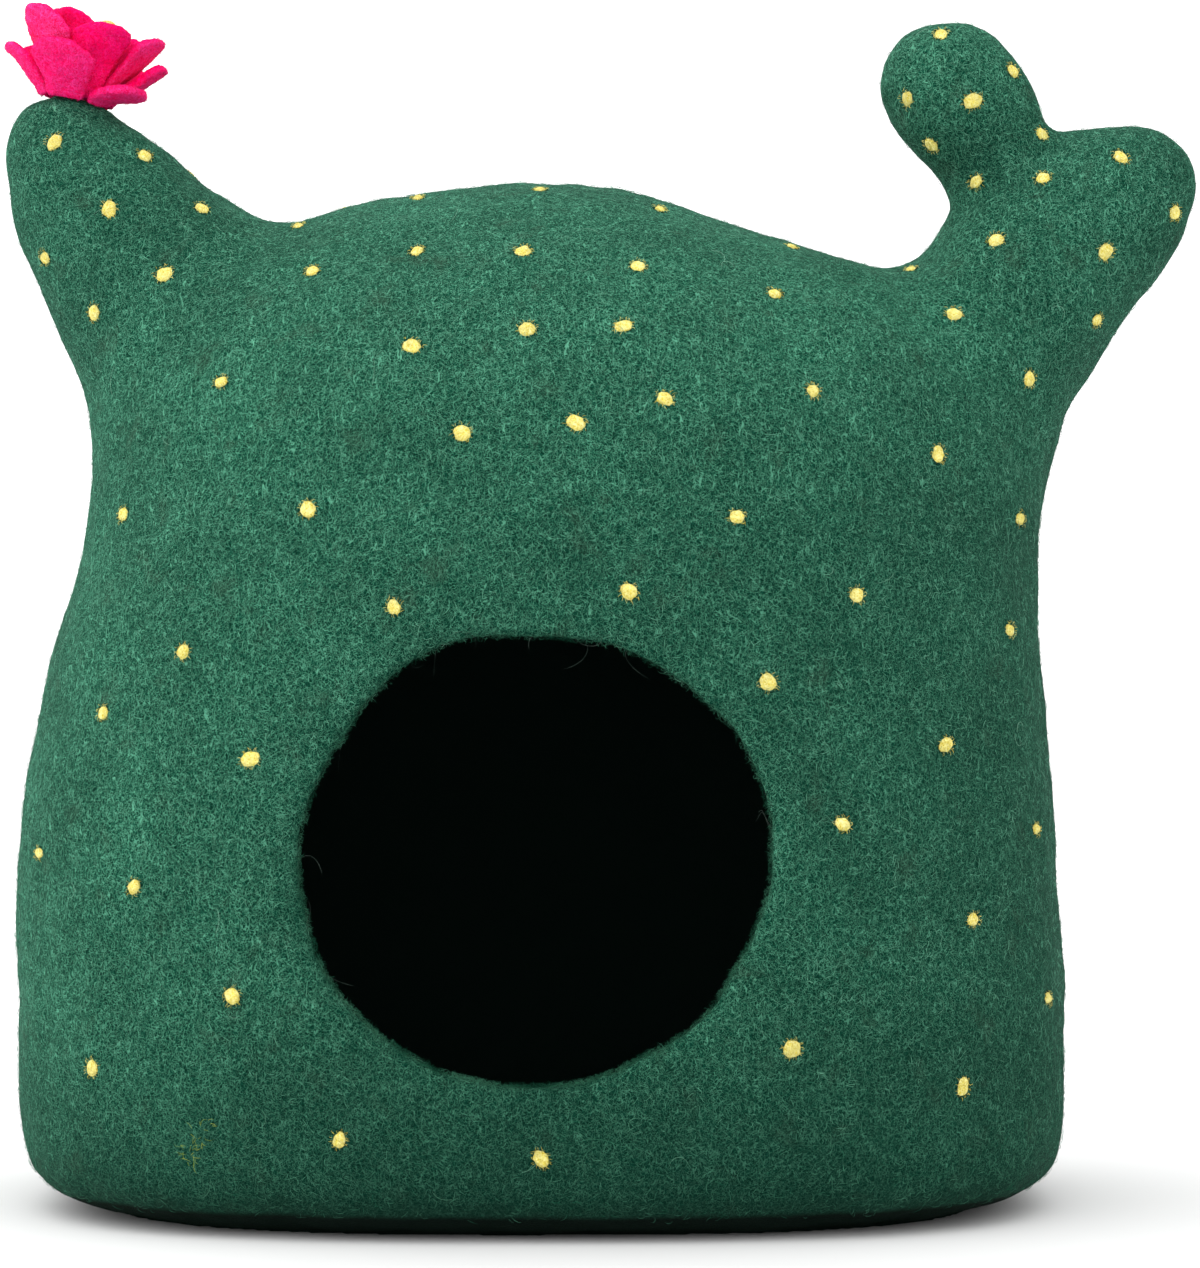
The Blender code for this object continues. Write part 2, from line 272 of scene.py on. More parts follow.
def joined_copies(name, points, faces):
    """One mesh of many alike parts: a row of points for each part, and the faces of the first."""
    first_points = np.arange(len(points)) * points.shape[1]
    faces = np.array(faces)[None] + first_points[:, None, None]
    mesh = mesh_from(name, points.reshape(-1, 3), faces.reshape(-1, 3))
    shade_smooth(mesh)
    return mesh


def shade_smooth(mesh):
    mesh.polygons.foreach_set("use_smooth", [True] * len(mesh.polygons))


def apply_modifiers(obj):
    """Puts the evaluated mesh in place of the object's own and drops the modifiers."""
    graph = bpy.context.evaluated_depsgraph_get()
    made = bpy.data.meshes.new_from_object(obj.evaluated_get(graph))
    made.name = obj.name
    obj.modifiers.clear()
    obj.data = made


def vertex_array(mesh, kind="co"):
    values = np.empty(len(mesh.vertices) * 3, dtype=np.float32)
    mesh.vertices.foreach_get(kind, values)
    return values.reshape(-1, 3).astype(np.float64)


def move_vertices(mesh, points):
    mesh.vertices.foreach_set("co", points.astype(np.float32).ravel())
    mesh.update()


def edge_array(mesh):
    edges = np.empty(len(mesh.edges) * 2, dtype=np.int32)
    mesh.edges.foreach_get("vertices", edges)
    return edges.reshape(-1, 2)


def triangle_arrays(mesh):
    mesh.calc_loop_triangles()
    corners = np.empty(len(mesh.loop_triangles) * 3, dtype=np.int32)
    mesh.loop_triangles.foreach_get("vertices", corners)
    return corners.reshape(-1, 3)


def surface_tree(mesh):
    return BVHTree.FromPolygons(vertex_array(mesh).tolist(), triangle_arrays(mesh).tolist())


def set_attribute(mesh, name, values):
    mesh.attributes.new(name, "FLOAT", "POINT").data.foreach_set("value", values.astype(np.float32))


def remeshed_copy(name, source, voxel, smoothing, material):
    obj = new_object(name, source.data.copy(), material)
    remesh = obj.modifiers.new("even_grid", "REMESH")
    remesh.mode = "VOXEL"
    remesh.voxel_size = voxel
    smooth = obj.modifiers.new("soften", "SMOOTH")
    smooth.factor = 0.5
    smooth.iterations = smoothing
    apply_modifiers(obj)
    return obj


def decimate_to(obj, triangles):
    count = sum(len(p.vertices) - 2 for p in obj.data.polygons)
    if count > triangles:
        step = obj.modifiers.new("thin_out", "DECIMATE")
        step.ratio = triangles / count
        apply_modifiers(obj)


def add_lumps(obj, lumps, floor=None):
    """Moves each vertex along its normal by smooth noise, and keeps a flat base where it is."""
    mesh = obj.data
    points = vertex_array(mesh)
    normals = vertex_array(mesh, "normal")
    shift = np.zeros(len(points))
    for wavelength, height in lumps:
        scaled = points / wavelength
        shift += height * np.array([noise.noise(p) for p in scaled])
    moved = points + normals * shift[:, None]
    if floor is not None:
        resting = points[:, 2] < floor + RESTING_HEIGHT
        moved[resting, 2] = floor
        moved[:, 2] = np.maximum(moved[:, 2], floor)
    move_vertices(mesh, moved)


def kept_above(obj, height):
    points = vertex_array(obj.data)
    points[:, 2] = np.maximum(points[:, 2], height)
    move_vertices(obj.data, points)


# ---------------------------------------------------------------- places on the photograph

def nearness(points, column, row, radius):
    """1 in line with a pixel of the photograph, falling smoothly to 0 beyond the radius."""
    x = CAMERA_AT.x + (column - PHOTO_CENTRE[0]) * PIXEL
    z = CAMERA_AT.z + (PHOTO_CENTRE[1] - row) * PIXEL
    return np.exp(-((points[:, 0] - x) ** 2 + (points[:, 2] - z) ** 2) / (radius * PIXEL) ** 2)


def pixel_ray(column, row):
    across = (column - PHOTO_CENTRE[0]) / FOCAL_PIXELS
    up = (PHOTO_CENTRE[1] - row) / FOCAL_PIXELS
    return Vector((across, 1.0, up)).normalized()


# ---------------------------------------------------------------- shares over a surface

def rising(values, start, width):
    """0 up to the start, and 1 from its width further on."""
    return np.clip((values - start) / width, 0, 1)


def falling(values, end, width):
    """0 from the end on, and 1 up to its width before that."""
    return np.clip((end - values) / width, 0, 1)


def spread(values, edges, passes):
    """Averages a value per vertex with its neighbours'."""
    degree = np.bincount(edges.ravel(), minlength=len(values)).clip(1)
    for _ in range(passes):
        total = np.bincount(edges[:, 0], values[edges[:, 1]], len(values))
        total += np.bincount(edges[:, 1], values[edges[:, 0]], len(values))
        values = OWN_WEIGHT * values + NEIGHBOUR_WEIGHT * total / degree
    return values


def doorway_facing(mesh):
    """How far each vertex of the doorway's rim faces the middle of the opening; 0 off the rim."""
    points, normals = vertex_array(mesh), vertex_array(mesh, "normal")
    out = points[:, ::2] - DOORWAY
    reach = np.linalg.norm(out, axis=1)
    facing = -(normals[:, ::2] * out).sum(axis=1) / reach
    return np.where((reach < RIM_REACH) & (points[:, 1] < RIM_BACK), facing, 0.0)


def inner_share(mesh, tree):
    """1 on the hollow's own side of the wall, 0 outside, with a soft step at the doorway's rim."""
    points = vertex_array(mesh)
    normals = vertex_array(mesh, "normal")
    share = np.zeros(len(points))
    for i, (p, n) in enumerate(zip(points, normals)):
        start = Vector(p) + Vector(n) * SIGHT_START
        for middle in HOLLOW_MIDDLES:
            way = middle - start
            if tree.ray_cast(start, way.normalized(), way.length)[0] is None:
                share[i] = 1.0
                break
    share[(doorway_facing(mesh) > RIM_FACES_IN) & (normals[:, 1] < RIM_FACES_BACK)] = 0.0
    return spread(share, edge_array(mesh), 3)


def shade_share(mesh):
    """How dark the painted shade on the wool is: more where the felt faces down, and near the floor, and in
    the creases.
    """
    points = vertex_array(mesh)
    across, heights = points[:, 0], points[:, 2]
    normals = vertex_array(mesh, "normal")
    right, up = (spread(normals[:, k], edge_array(mesh), SHADE_PASSES) for k in (0, 2))
    left, down = np.clip(-right, 0, 1), np.clip(-up, 0, 1)
    shade = falling(heights, *WALL_END) * (WALL_DARK + WALL_RIGHT_DARKER * right - WALL_LEFT_LIGHTER * left)
    shade += falling(heights, *LOWER_WALL_END) * LOWER_WALL_DARK
    arms = rising(np.abs(across - FORM_MIDDLE), *ARMS_BESIDE)
    arms *= rising(heights, *ARMS_START) * falling(heights, *ARMS_END)
    shade += arms * (ARMS_DARK + ARMS_RIGHT_DARKER * right)
    foot = FOOT_DARK - FOOT_RIGHT_LIGHTER * right - FOOT_SIDES_LIGHTER * np.abs(right)
    shade += falling(heights, *FOOT_END) * foot
    shade += UNDERSIDE_DARK * down
    # Painted shade in the creases.
    for column, row, radius, amount in CREASE_SHADE:
        shade += amount * nearness(points, column, row, radius)
    return np.clip(shade, 0, 1)


# ---------------------------------------------------------------- fibres

def between(low, high, count):
    return low + (high - low) * rng.random(count)


def scatter(mesh, count, weights):
    """Random places on the mesh's faces, by area and a weight per vertex, with their smooth normals."""
    points = vertex_array(mesh)
    normals = vertex_array(mesh, "normal")
    corners = triangle_arrays(mesh)
    a, b, c = (points[corners[:, k]] for k in range(3))
    area = np.linalg.norm(np.cross(b - a, c - a), axis=1)
    area = area * weights[corners].mean(axis=1)
    pick = rng.choice(len(corners), count, p=area / area.sum())
    u, v = rng.random(count), rng.random(count)
    over = u + v > 1
    u[over], v[over] = 1 - u[over], 1 - v[over]
    w = np.stack([1 - u - v, u, v], axis=1)[:, :, None]
    place = (points[corners[pick]] * w).sum(axis=1)
    normal = (normals[corners[pick]] * w).sum(axis=1)
    return place, normal / np.linalg.norm(normal, axis=1)[:, None]


def side_vectors(normals, angle):
    """A unit vector across each normal, turned by the angle, and the one square to both."""
    helper = np.where(np.abs(normals[:, 2:3]) < 0.9, [[0.0, 0.0, 1.0]], [[1.0, 0.0, 0.0]])
    u = np.cross(helper, normals)
    u /= np.linalg.norm(u, axis=1)[:, None]
    v = np.cross(normals, u)
    along = u * np.cos(angle)[:, None] + v * np.sin(angle)[:, None]
    return along, np.cross(normals, along)


def strand_paths(place, normal, length, lift, tip_up, curl, angle, segments):
    """The points along each fibre, and how high over the felt each of them is."""
    along, across = side_vectors(normal, angle)
    share = np.linspace(0.0, 1.0, segments + 1)
    turn = curl[:, None] * (share[None, :] - 0.5)
    step = length[:, None] / segments
    middle = (turn[:, 1:] + turn[:, :-1]) / 2
    zero = np.zeros((len(place), 1))
    x = np.concatenate([zero, np.cumsum(np.cos(middle) * step, axis=1)], axis=1)
    y = np.concatenate([zero, np.cumsum(np.sin(middle) * step, axis=1)], axis=1)
    lying = 4 * share * (1 - share)
    standing = share ** STANDING_CURVE
    up = lift[:, None] * (lying * (1 - tip_up[:, None]) + standing * tip_up[:, None])
    up = up - FIBRE_ROOT * (1 - lying)
    path = (
        place[:, None, :]
        + along[:, None, :] * x[:, :, None]
        + across[:, None, :] * y[:, :, None]
        + normal[:, None, :] * up[:, :, None]
    )
    return path, up


def settled(path, up, tree):
    """The points of each path laid on the felt, each raised by its own height."""
    laid = path.copy()
    for index in np.ndindex(path.shape[:2]):
        place, normal, _, _ = tree.find_nearest(Vector(path[index]))
        laid[index] = place + normal * up[index]
    return laid


def strand_points(path, radius):
    """The points of a three-sided tube with pointed ends round each path."""
    last = path.shape[1] - 1
    corners = []
    for k in range(1, last):
        way = path[:, k + 1] - path[:, k - 1]
        way /= np.linalg.norm(way, axis=1)[:, None]
        e1, e2 = side_vectors(way, np.zeros(len(path)))
        thin = 1.0 if k < last - 1 else FIBRE_TIP
        for third in range(3):
            a = 2 * math.pi * third / 3
            corners.append(path[:, k] + (e1 * math.cos(a) + e2 * math.sin(a)) * (radius * thin)[:, None])
    return np.stack([path[:, 0], *corners, path[:, last]], axis=1)


def strand_faces(segments):
    faces = []
    for s in range(3):
        t = (s + 1) % 3
        faces.append((0, 1 + t, 1 + s))
        for k in range(segments - 2):
            low, high = 1 + 3 * k, 4 + 3 * k
            faces.append((low + s, low + t, high + t))
            faces.append((low + s, high + t, high + s))
        last = 1 + 3 * (segments - 2)
        faces.append((last + s, last + t, last + 3))
    return faces


def make_strands(name, material, place, normal, length, radius, lift, tip_up, curl, angle=None, segments=3,
                 tree=None):
    """Curled wool fibres as thin tubes. tip_up is 0 for one that lies on the felt with both ends in it, and
    1 for one whose far end stands out by lift. With a tree, they lie on its surface all along."""
    if angle is None:
        angle = rng.random(len(place)) * 2 * math.pi
    path, up = strand_paths(place, normal, length, lift, tip_up, curl, angle, segments)
    if tree is not None:
        path = settled(path, up, tree)
    mesh = joined_copies(name, strand_points(path, radius), strand_faces(segments))
    return new_object(name, mesh, material)


def fuzz(name, place, normal, material, length, radius, lift, standing, curl, segments=3, tree=None):
    """One piece of loose fibres. standing is the share of them whose far end stands out."""
    count = len(place)
    tip_up = (rng.random(count) < standing).astype(float)
    return make_strands(
        name, material, place, normal, between(*length, count), between(*radius, count),
        between(*lift, count), tip_up, between(-curl, curl, count), segments=segments, tree=tree,
    )


# ---------------------------------------------------------------- materials

class Material:
    """A node material being built: add() makes a node, sets its properties and fills its inputs."""

    def __init__(self, name):
        self.material = bpy.data.materials.new(name)
        self.material.use_nodes = True
        self.tree = self.material.node_tree
        self.shader = self.tree.nodes["Principled BSDF"]
        self.place = self.add("ShaderNodeTexCoord").outputs["Object"]

    def fill(self, node, inputs):
        for key, value in inputs.items():
            socket = node.inputs[key]
            if isinstance(value, bpy.types.NodeSocket):
                self.tree.links.new(value, socket)
            else:
                socket.default_value = value

    def add(self, kind, inputs=None, **properties):
        node = self.tree.nodes.new(kind)
        for key, value in properties.items():
            setattr(node, key, value)
        self.fill(node, inputs or {})
        return node

    def attribute(self, name):
        return self.add("ShaderNodeAttribute", attribute_name=name).outputs["Fac"]

    def height(self):
        return self.add("ShaderNodeSeparateXYZ", {0: self.place}).outputs["Z"]

    def grey(self, value):
        return self.add("ShaderNodeCombineColor", {0: value, 1: value, 2: value}).outputs[0]

    def math(self, operation, a, b=0.0):
        return self.add("ShaderNodeMath", {0: a, 1: b}, operation=operation).outputs[0]

    def vector_math(self, operation, a, b):
        second = 3 if operation == "SCALE" else 1
        return self.add("ShaderNodeVectorMath", {0: a, second: b}, operation=operation).outputs[0]

    def noise(self, scale, detail=2.0, place=None, roughness=0.5, output="Fac"):
        inputs = {"Vector": place or self.place, "Scale": scale, "Detail": detail, "Roughness": roughness}
        return self.add("ShaderNodeTexNoise", inputs).outputs[output]

    def ramp(self, value, low, high, to_low=0.0, to_high=1.0):
        inputs = {"Value": value, "From Min": low, "From Max": high, "To Min": to_low, "To Max": to_high}
        return self.add("ShaderNodeMapRange", inputs, interpolation_type="SMOOTHSTEP").outputs["Result"]

    def mix(self, factor, a, b, blend="MIX"):
        inputs = {0: factor, 6: a, 7: b}
        return self.add("ShaderNodeMix", inputs, data_type="RGBA", blend_type=blend).outputs[2]

    def warped(self, scale, reach, shift=(0.0, 0.0, 0.0)):
        """The object's coordinates pushed about by noise, so that patterns made in them curl."""
        push = self.vector_math("SUBTRACT", self.noise(scale, 1.0, output="Color"), (0.5, 0.5, 0.5))
        moved = self.vector_math("ADD", self.place, self.vector_math("SCALE", push, reach))
        return self.vector_math("ADD", moved, shift)

    def strokes(self, place, axis, scale, width):
        """Thin lines that run along an axis, where a noise drawn out along it passes its middle value."""
        turn = Vector(axis).to_track_quat("X", "Z").to_euler()
        inputs = {"Vector": place, "Rotation": tuple(turn), "Scale": (STROKE_STRETCH, 1.0, 1.0)}
        drawn = self.add("ShaderNodeMapping", inputs, vector_type="TEXTURE").outputs[0]
        off_middle = self.math("SUBTRACT", self.noise(scale, 1.0, drawn, 0.4), 0.5)
        return self.ramp(self.math("ABSOLUTE", off_middle), 0.0, width, 1.0, 0.0)

    def finish(self, colour, height, bump, depth, roughness, sheen, tint):
        normal = self.add("ShaderNodeBump", {"Height": height, "Strength": bump, "Distance": depth})
        self.fill(self.shader, {
            "Base Color": colour, "Normal": normal.outputs["Normal"], "Roughness": roughness,
            "Specular IOR Level": 0.05, "Sheen Weight": sheen, "Sheen Roughness": 0.5, "Sheen Tint": tint,
        })
        return self.material


def rgb(*values):
    """An sRGB colour of 0 to 255 as a linear one."""
    linear = [v / 255 / 12.92 if v <= 10 else ((v / 255 + 0.055) / 1.055) ** 2.4 for v in values]
    return (*linear, 1.0)


# The ways that fibres run in the felt: six axes spread evenly, so that some lie along any surface.
GOLDEN = (1 + math.sqrt(5)) / 2
FIBRE_AXES = (
    (0.0, 1.0, GOLDEN), (0.0, -1.0, GOLDEN), (1.0, GOLDEN, 0.0), (-1.0, GOLDEN, 0.0), (GOLDEN, 0.0, 1.0),
    (-GOLDEN, 0.0, 1.0),
)
STROKE_STRETCH = 5.0

# The felt's patterns: the noise values between which each one rises, and what it rises from and to.
PITS = (0.36, 0.64)
FIBRES_THIN_OUT = (0.35, 0.65, 0.76, 1.0)
PATCHES = (0.30, 0.72, 0.84, 1.10)
WARM_PATCHES = (0.58, 0.78, 0.0, 0.3)
SHEEN_AND_FIBRE_SPECKS = (0.46, 0.64, 0.0, 0.5)
SHEEN_AND_FIBRE_SCALE = 950.0
# The shell's painted shade: the shade zones, painted shade on the inside of the hollow, and a painted
# contact shadow where the foot meets the floor, with the heights between which that last one fades, and by
# how much its edge waves.
PAINTED_SHADE = rgb(5, 33, 25)
PAINTED_INSIDE_SHADE = rgb(20, 36, 31)
INSIDE_SHADE_STEP = (0.72, 1.0)
PAINTED_CONTACT_SHADOW = rgb(3, 6, 5)
CONTACT_SHADOW_FADE = (0.0090, 0.0118, 1.0, 0.0)
CONTACT_SHADOW_WAVE = 0.002
# Painted shade on the loose fibres: darker the nearer they are to the floor.
STRAND_FLOOR_SHADE = (0.005, 0.10, 0.6, 0.0)


def crossing_fibres(m, scale, width):
    """Strokes along all the fibre axes, bent, and each axis at a spacing of its own."""
    bent = m.warped(scale * 0.5, 0.8 / scale)
    fibres = 0.0
    for index, axis in enumerate(FIBRE_AXES):
        fibres = m.math("MAXIMUM", fibres, m.strokes(bent, axis, scale * (0.8 + 0.12 * index), width))
    return fibres


# Painted shade on the shell: the shade zones, the inside of the hollow and a contact shadow at the foot.
def shell_shades(m, colour):
    colour = m.mix(m.attribute("shade"), colour, PAINTED_SHADE)
    # Painted shade on the inside of the hollow.
    colour = m.mix(m.ramp(m.attribute("inner"), *INSIDE_SHADE_STEP), colour, PAINTED_INSIDE_SHADE)
    # A painted contact shadow where the foot meets the floor, with a waving edge.
    wave = m.math("MULTIPLY", m.noise(60.0, 3.0), CONTACT_SHADOW_WAVE)
    return m.mix(m.ramp(m.math("ADD", m.height(), wave), *CONTACT_SHADOW_FADE), colour, PAINTED_CONTACT_SHADOW)


def felt(name, dark, middle, pale, warm, fibre_scale, fibre_width, mottle, sheen, shaded=False,
         sheen_and_fibre_side=None):
    """Wool felt: short crossing pale fibres over a darker ground with pits, in uneven patches."""
    m = Material(name)
    fibres = crossing_fibres(m, fibre_scale, fibre_width)
    ground = m.ramp(m.noise(fibre_scale * 2.0), *PITS)
    amount = m.ramp(m.noise(fibre_scale * 0.4), *FIBRES_THIN_OUT)
    colour = m.mix(ground, dark, middle)
    colour = m.mix(m.math("MULTIPLY", fibres, amount), colour, pale)
    patches = m.ramp(m.noise(mottle, 3.0, roughness=0.6), *PATCHES)
    colour = m.mix(1.0, colour, m.grey(patches), "MULTIPLY")
    streaks = m.noise(mottle * 2.6, place=m.warped(mottle, 0.02, (2.0, 1.0, 3.0)))
    colour = m.mix(m.ramp(streaks, *WARM_PATCHES), colour, warm)
    if shaded:
        colour = shell_shades(m, colour)
    if sheen_and_fibre_side is not None:
        # Painted sheen on the petals' outer sides, with pale fibre specks.
        specks = m.math("MAXIMUM", m.ramp(m.noise(SHEEN_AND_FIBRE_SCALE), *SHEEN_AND_FIBRE_SPECKS), fibres)
        colour = m.mix(m.math("MULTIPLY", m.attribute(PALE_SIDE), specks), colour, sheen_and_fibre_side)
    height = m.math("ADD", m.math("MULTIPLY", fibres, 0.6), m.math("MULTIPLY", ground, 0.5))
    return m.finish(colour, height, bump=0.7, depth=0.0004, roughness=0.95, sheen=sheen, tint=pale)


def wool_strand(name, dark, pale, scale=90.0):
    """A fibre, paler along some of its length, with painted shade that darkens it near the floor."""
    m = Material(name)
    colour = m.mix(m.ramp(m.noise(scale), 0.35, 0.65), dark, pale)
    colour = m.mix(m.ramp(m.height(), *STRAND_FLOOR_SHADE), colour, dark)
    grain = m.noise(2500.0, 1.0)
    return m.finish(colour, grain, bump=0.2, depth=0.0001, roughness=0.9, sheen=0.1, tint=pale)


GREEN = felt(
    "green_wool_felt", dark=rgb(3, 44, 31), middle=rgb(12, 69, 51), pale=rgb(92, 162, 132),
    warm=rgb(52, 68, 54), fibre_scale=540.0, fibre_width=0.016, mottle=24.0, sheen=0.06, shaded=True,
)
PINK = felt(
    "pink_felt", dark=rgb(232, 0, 78), middle=rgb(255, 0, 98), pale=rgb(255, 6, 122),
    warm=rgb(248, 0, 96), fibre_scale=480.0, fibre_width=0.025, mottle=60.0, sheen=0.0,
    sheen_and_fibre_side=rgb(250, 74, 158),
)
YELLOW = felt(
    "yellow_wool", dark=rgb(204, 180, 60), middle=rgb(234, 218, 100), pale=rgb(246, 240, 164),
    warm=rgb(224, 194, 66), fibre_scale=700.0, fibre_width=0.03, mottle=160.0, sheen=0.06,
)
GREEN_FIBRE = wool_strand("green_wool_fibre", rgb(28, 90, 68), rgb(112, 174, 146))
PINK_FIBRE = wool_strand("pink_wool_fibre", rgb(250, 0, 102), rgb(252, 70, 156), 200.0)
YELLOW_FIBRE = wool_strand("yellow_wool_fibre", rgb(216, 198, 84), rgb(242, 232, 140), 300.0)
# The doorway rim's fibres and hairs are darker copies of the fibre colours, as painted shade in the
# doorway.
RIM_SHADED_FIBRE = wool_strand("rim_shaded_wool_fibre", rgb(24, 76, 56), rgb(66, 124, 98))
RIM_SHADED_HAIR = wool_strand("rim_shaded_wool_hair", rgb(34, 48, 42), rgb(84, 98, 90))
# Dark fibres round the tufts: felt drawn in with them, and painted shade round each tuft.
HALO_SHADE_FIBRE = wool_strand("tuft_halo_shade_fibre", rgb(6, 36, 26), rgb(16, 58, 42))
PALE_HAIR = wool_strand("pale_wool_hair", rgb(58, 118, 92), rgb(134, 182, 158), 40.0)
WISP_FIBRE = wool_strand("wisp_wool_fibre", rgb(120, 146, 52), rgb(190, 198, 88), 200.0)


# ---------------------------------------------------------------- the cave

def press_by_hand(obj):
    """Small soft pushes on the outline, as a felter's hands make, and the foot's turn under."""
    points = vertex_array(obj.data)
    shift = np.zeros_like(points)
    for column, row, radius, right, down in PRESSED:
        near = nearness(points, column, row, radius)
        shift[:, 0] += near * right * PIXEL
        shift[:, 2] -= near * down * PIXEL
    points += shift
    low = np.clip(1 - points[:, 2] / FOOT_HEIGHT, 0, 1) ** 2
    points[:, 0] *= 1 - low * FOOT_TURN / FOOT_REACH[0]
    points[:, 1] *= 1 - low * FOOT_TURN / FOOT_REACH[1]
    move_vertices(obj.data, points)


def make_shell():
    shell = remeshed_copy("felt_shell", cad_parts["cave_shell"], SHELL_VOXEL, SHELL_SMOOTHING, GREEN)
    press_by_hand(shell)
    add_lumps(shell, SHELL_LUMPS, floor=0.0)
    decimate_to(shell, SHELL_TRIANGLES)
    shade_smooth(shell.data)
    return shell


shell = make_shell()
shell_tree = surface_tree(shell.data)
inner = inner_share(shell.data, shell_tree)
set_attribute(shell.data, "inner", inner)
set_attribute(shell.data, "shade", shade_share(shell.data))
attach(shell, "root")
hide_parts("cave_shell")


# ---------------------------------------------------------------- the flower

def mark_outer_side(mesh, amount):
    """The petals' outer sides are painted paler than the sides that face the flower's middle, as painted
    sheen with pale fibre specks.
    """
    points = vertex_array(mesh) - np.array(FLOWER_FOOT)
    axis = np.array(Vector((math.sin(FLOWER_TILT), 0.0, math.cos(FLOWER_TILT))))
    away = points - (points @ axis)[:, None] * axis
    away /= np.linalg.norm(away, axis=1)[:, None] + 1e-9
    facing = (vertex_array(mesh, "normal") * (away - PALE_DOWNWARD * axis)).sum(axis=1)
    share = spread(np.clip(facing * PALE_CONTRAST, 0, 1), edge_array(mesh), 2)
    set_attribute(mesh, PALE_SIDE, amount * share)


def make_petal(name, node, cut):
    petal = remeshed_copy(name, node, PETAL_VOXEL, PETAL_SMOOTHING, PINK)
    add_lumps(petal, PETAL_LUMPS)
    mark_outer_side(petal.data, PALE_PETALS.get(name.removeprefix("felt_petal_"), PALE_OTHERS))
    shade_smooth(petal.data)
    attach(petal, "root")
    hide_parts(node.name)
    length, width = cut
    return petal


petals = []
for ring, cuts in PETAL_CUTS.items():
    for index, cut in enumerate(cuts, start=1):
        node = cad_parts[f"petal_{ring}_{index}"]
        petals.append(make_petal(f"felt_petal_{ring}_{index}", node, cut))

centre_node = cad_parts["flower_centre"]
centre = remeshed_copy("felt_flower_centre", centre_node, CENTRE_VOXEL, CENTRE_SMOOTHING, YELLOW)
add_lumps(centre, CENTRE_LUMPS)
shade_smooth(centre.data)
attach(centre, "root")
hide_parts("flower_centre")


# ---------------------------------------------------------------- yellow tufts

def photo_places():
    for region in TUFTS.values():
        for pixel in region:
            place = shell_tree.ray_cast(CAMERA_AT, pixel_ray(*pixel))[0]
            if place is None:
                raise RuntimeError(f"the tuft at {pixel} misses the shell")
            yield place


def hidden_places(taken):
    """Tufts for the back, sides and top, which the photograph doesn't show, at about the same spacing."""
    found = list(taken)
    outside = 1.0 - np.clip(inner * 3, 0, 1)
    for p, n in zip(*scatter(shell.data, BACK_TUFT_TRIES, outside)):
        p, n = Vector(p), Vector(n)
        toward = (CAMERA_AT - p).normalized()
        facing = n.dot(toward)
        grazing = GRAZING[0] < facing < GRAZING[1]
        start = p + n * TUFT_SIGHT_START
        seen = grazing or (facing > 0 and shell_tree.ray_cast(start, toward)[0] is None)
        under = p.z < BACK_TUFT_LOWEST or n.z < BACK_TUFT_FACES_DOWN
        apart = ARM_TUFT_SPACING if p.z > ARM_HEIGHT else BACK_TUFT_SPACING
        if not seen and not under and all((p - q).length > apart for q in found):
            found.append(p)
            yield p


def smooth_normal(place):
    """The shell's normal averaged over a few points round a place."""
    total = Vector()
    for _, normal, _, _ in shell_tree.find_nearest_range(place, SLOPE_RADIUS):
        total += normal
    return total.normalized()


def tuft_frame(place, normal):
    """A tuft's radius, how far it is drawn out, and the directions along and across that."""
    radius = rng.uniform(*TUFT_RADIUS)
    stretch = rng.uniform(*TUFT_STRETCH)
    turn = np.array([rng.uniform(0, math.pi)])
    along, across = (Vector(v[0]) for v in side_vectors(np.array([normal]), turn))
    toward = (CAMERA_AT - place).normalized()
    facing = abs(normal.dot(toward))
    if facing < LONG_TUFT_FACING:
        along = (toward - normal * normal.dot(toward)).normalized()
        across = normal.cross(along)
        stretch = min(LONGEST_TUFT, math.sqrt(LONG_TUFT_FACING / facing))
    return radius, stretch, along, across


def tuft_points(place, normal, number, radius, stretch, along, across):
    """A tuft's closed dome: its top, its rings, whose edge dips into the felt, and its underside."""
    points = []
    for ring in (0.0, *TUFT_RINGS):
        for spoke in range(TUFT_SPOKES if ring else 1):
            turn = 2 * math.pi * spoke / TUFT_SPOKES
            x, y = math.cos(turn), math.sin(turn)
            rough = noise.noise(Vector((x * 1.6, y * 1.6, number * 7.3)))
            rough += 0.5 * noise.noise(Vector((x * 5, y * 5, number * 3.1)))
            out = radius * ring * (1 + TUFT_RAGGED * rough * ring)
            flat = place + along * (x * out * stretch) + across * (y * out / stretch)
            hit = shell_tree.ray_cast(flat + normal * TUFT_DROP, -normal, TUFT_DROP_REACH)[0] or flat
            bump = TUFT_UNEVEN * noise.noise(hit * 900.0)
            rise = TUFT_HEIGHT * (math.sqrt(max(0.0, 1 - ring ** 2.4)) + bump) - TUFT_SINK * ring ** 6
            points.append(hit + normal * rise)
    points.append(place - normal * (TUFT_SINK + TUFT_UNDERSIDE))
    return points


def tuft_faces():
    n = TUFT_SPOKES
    faces = []
    for s in range(n):
        t = (s + 1) % n
        faces.append((0, 1 + s, 1 + t))
        for k in range(len(TUFT_RINGS) - 1):
            low, high = 1 + n * k, 1 + n * (k + 1)
            faces.append((low + s, high + s, high + t))
            faces.append((low + s, high + t, low + t))
        last = 1 + n * (len(TUFT_RINGS) - 1)
        faces.append((last + s, last + n, last + t))
    return faces


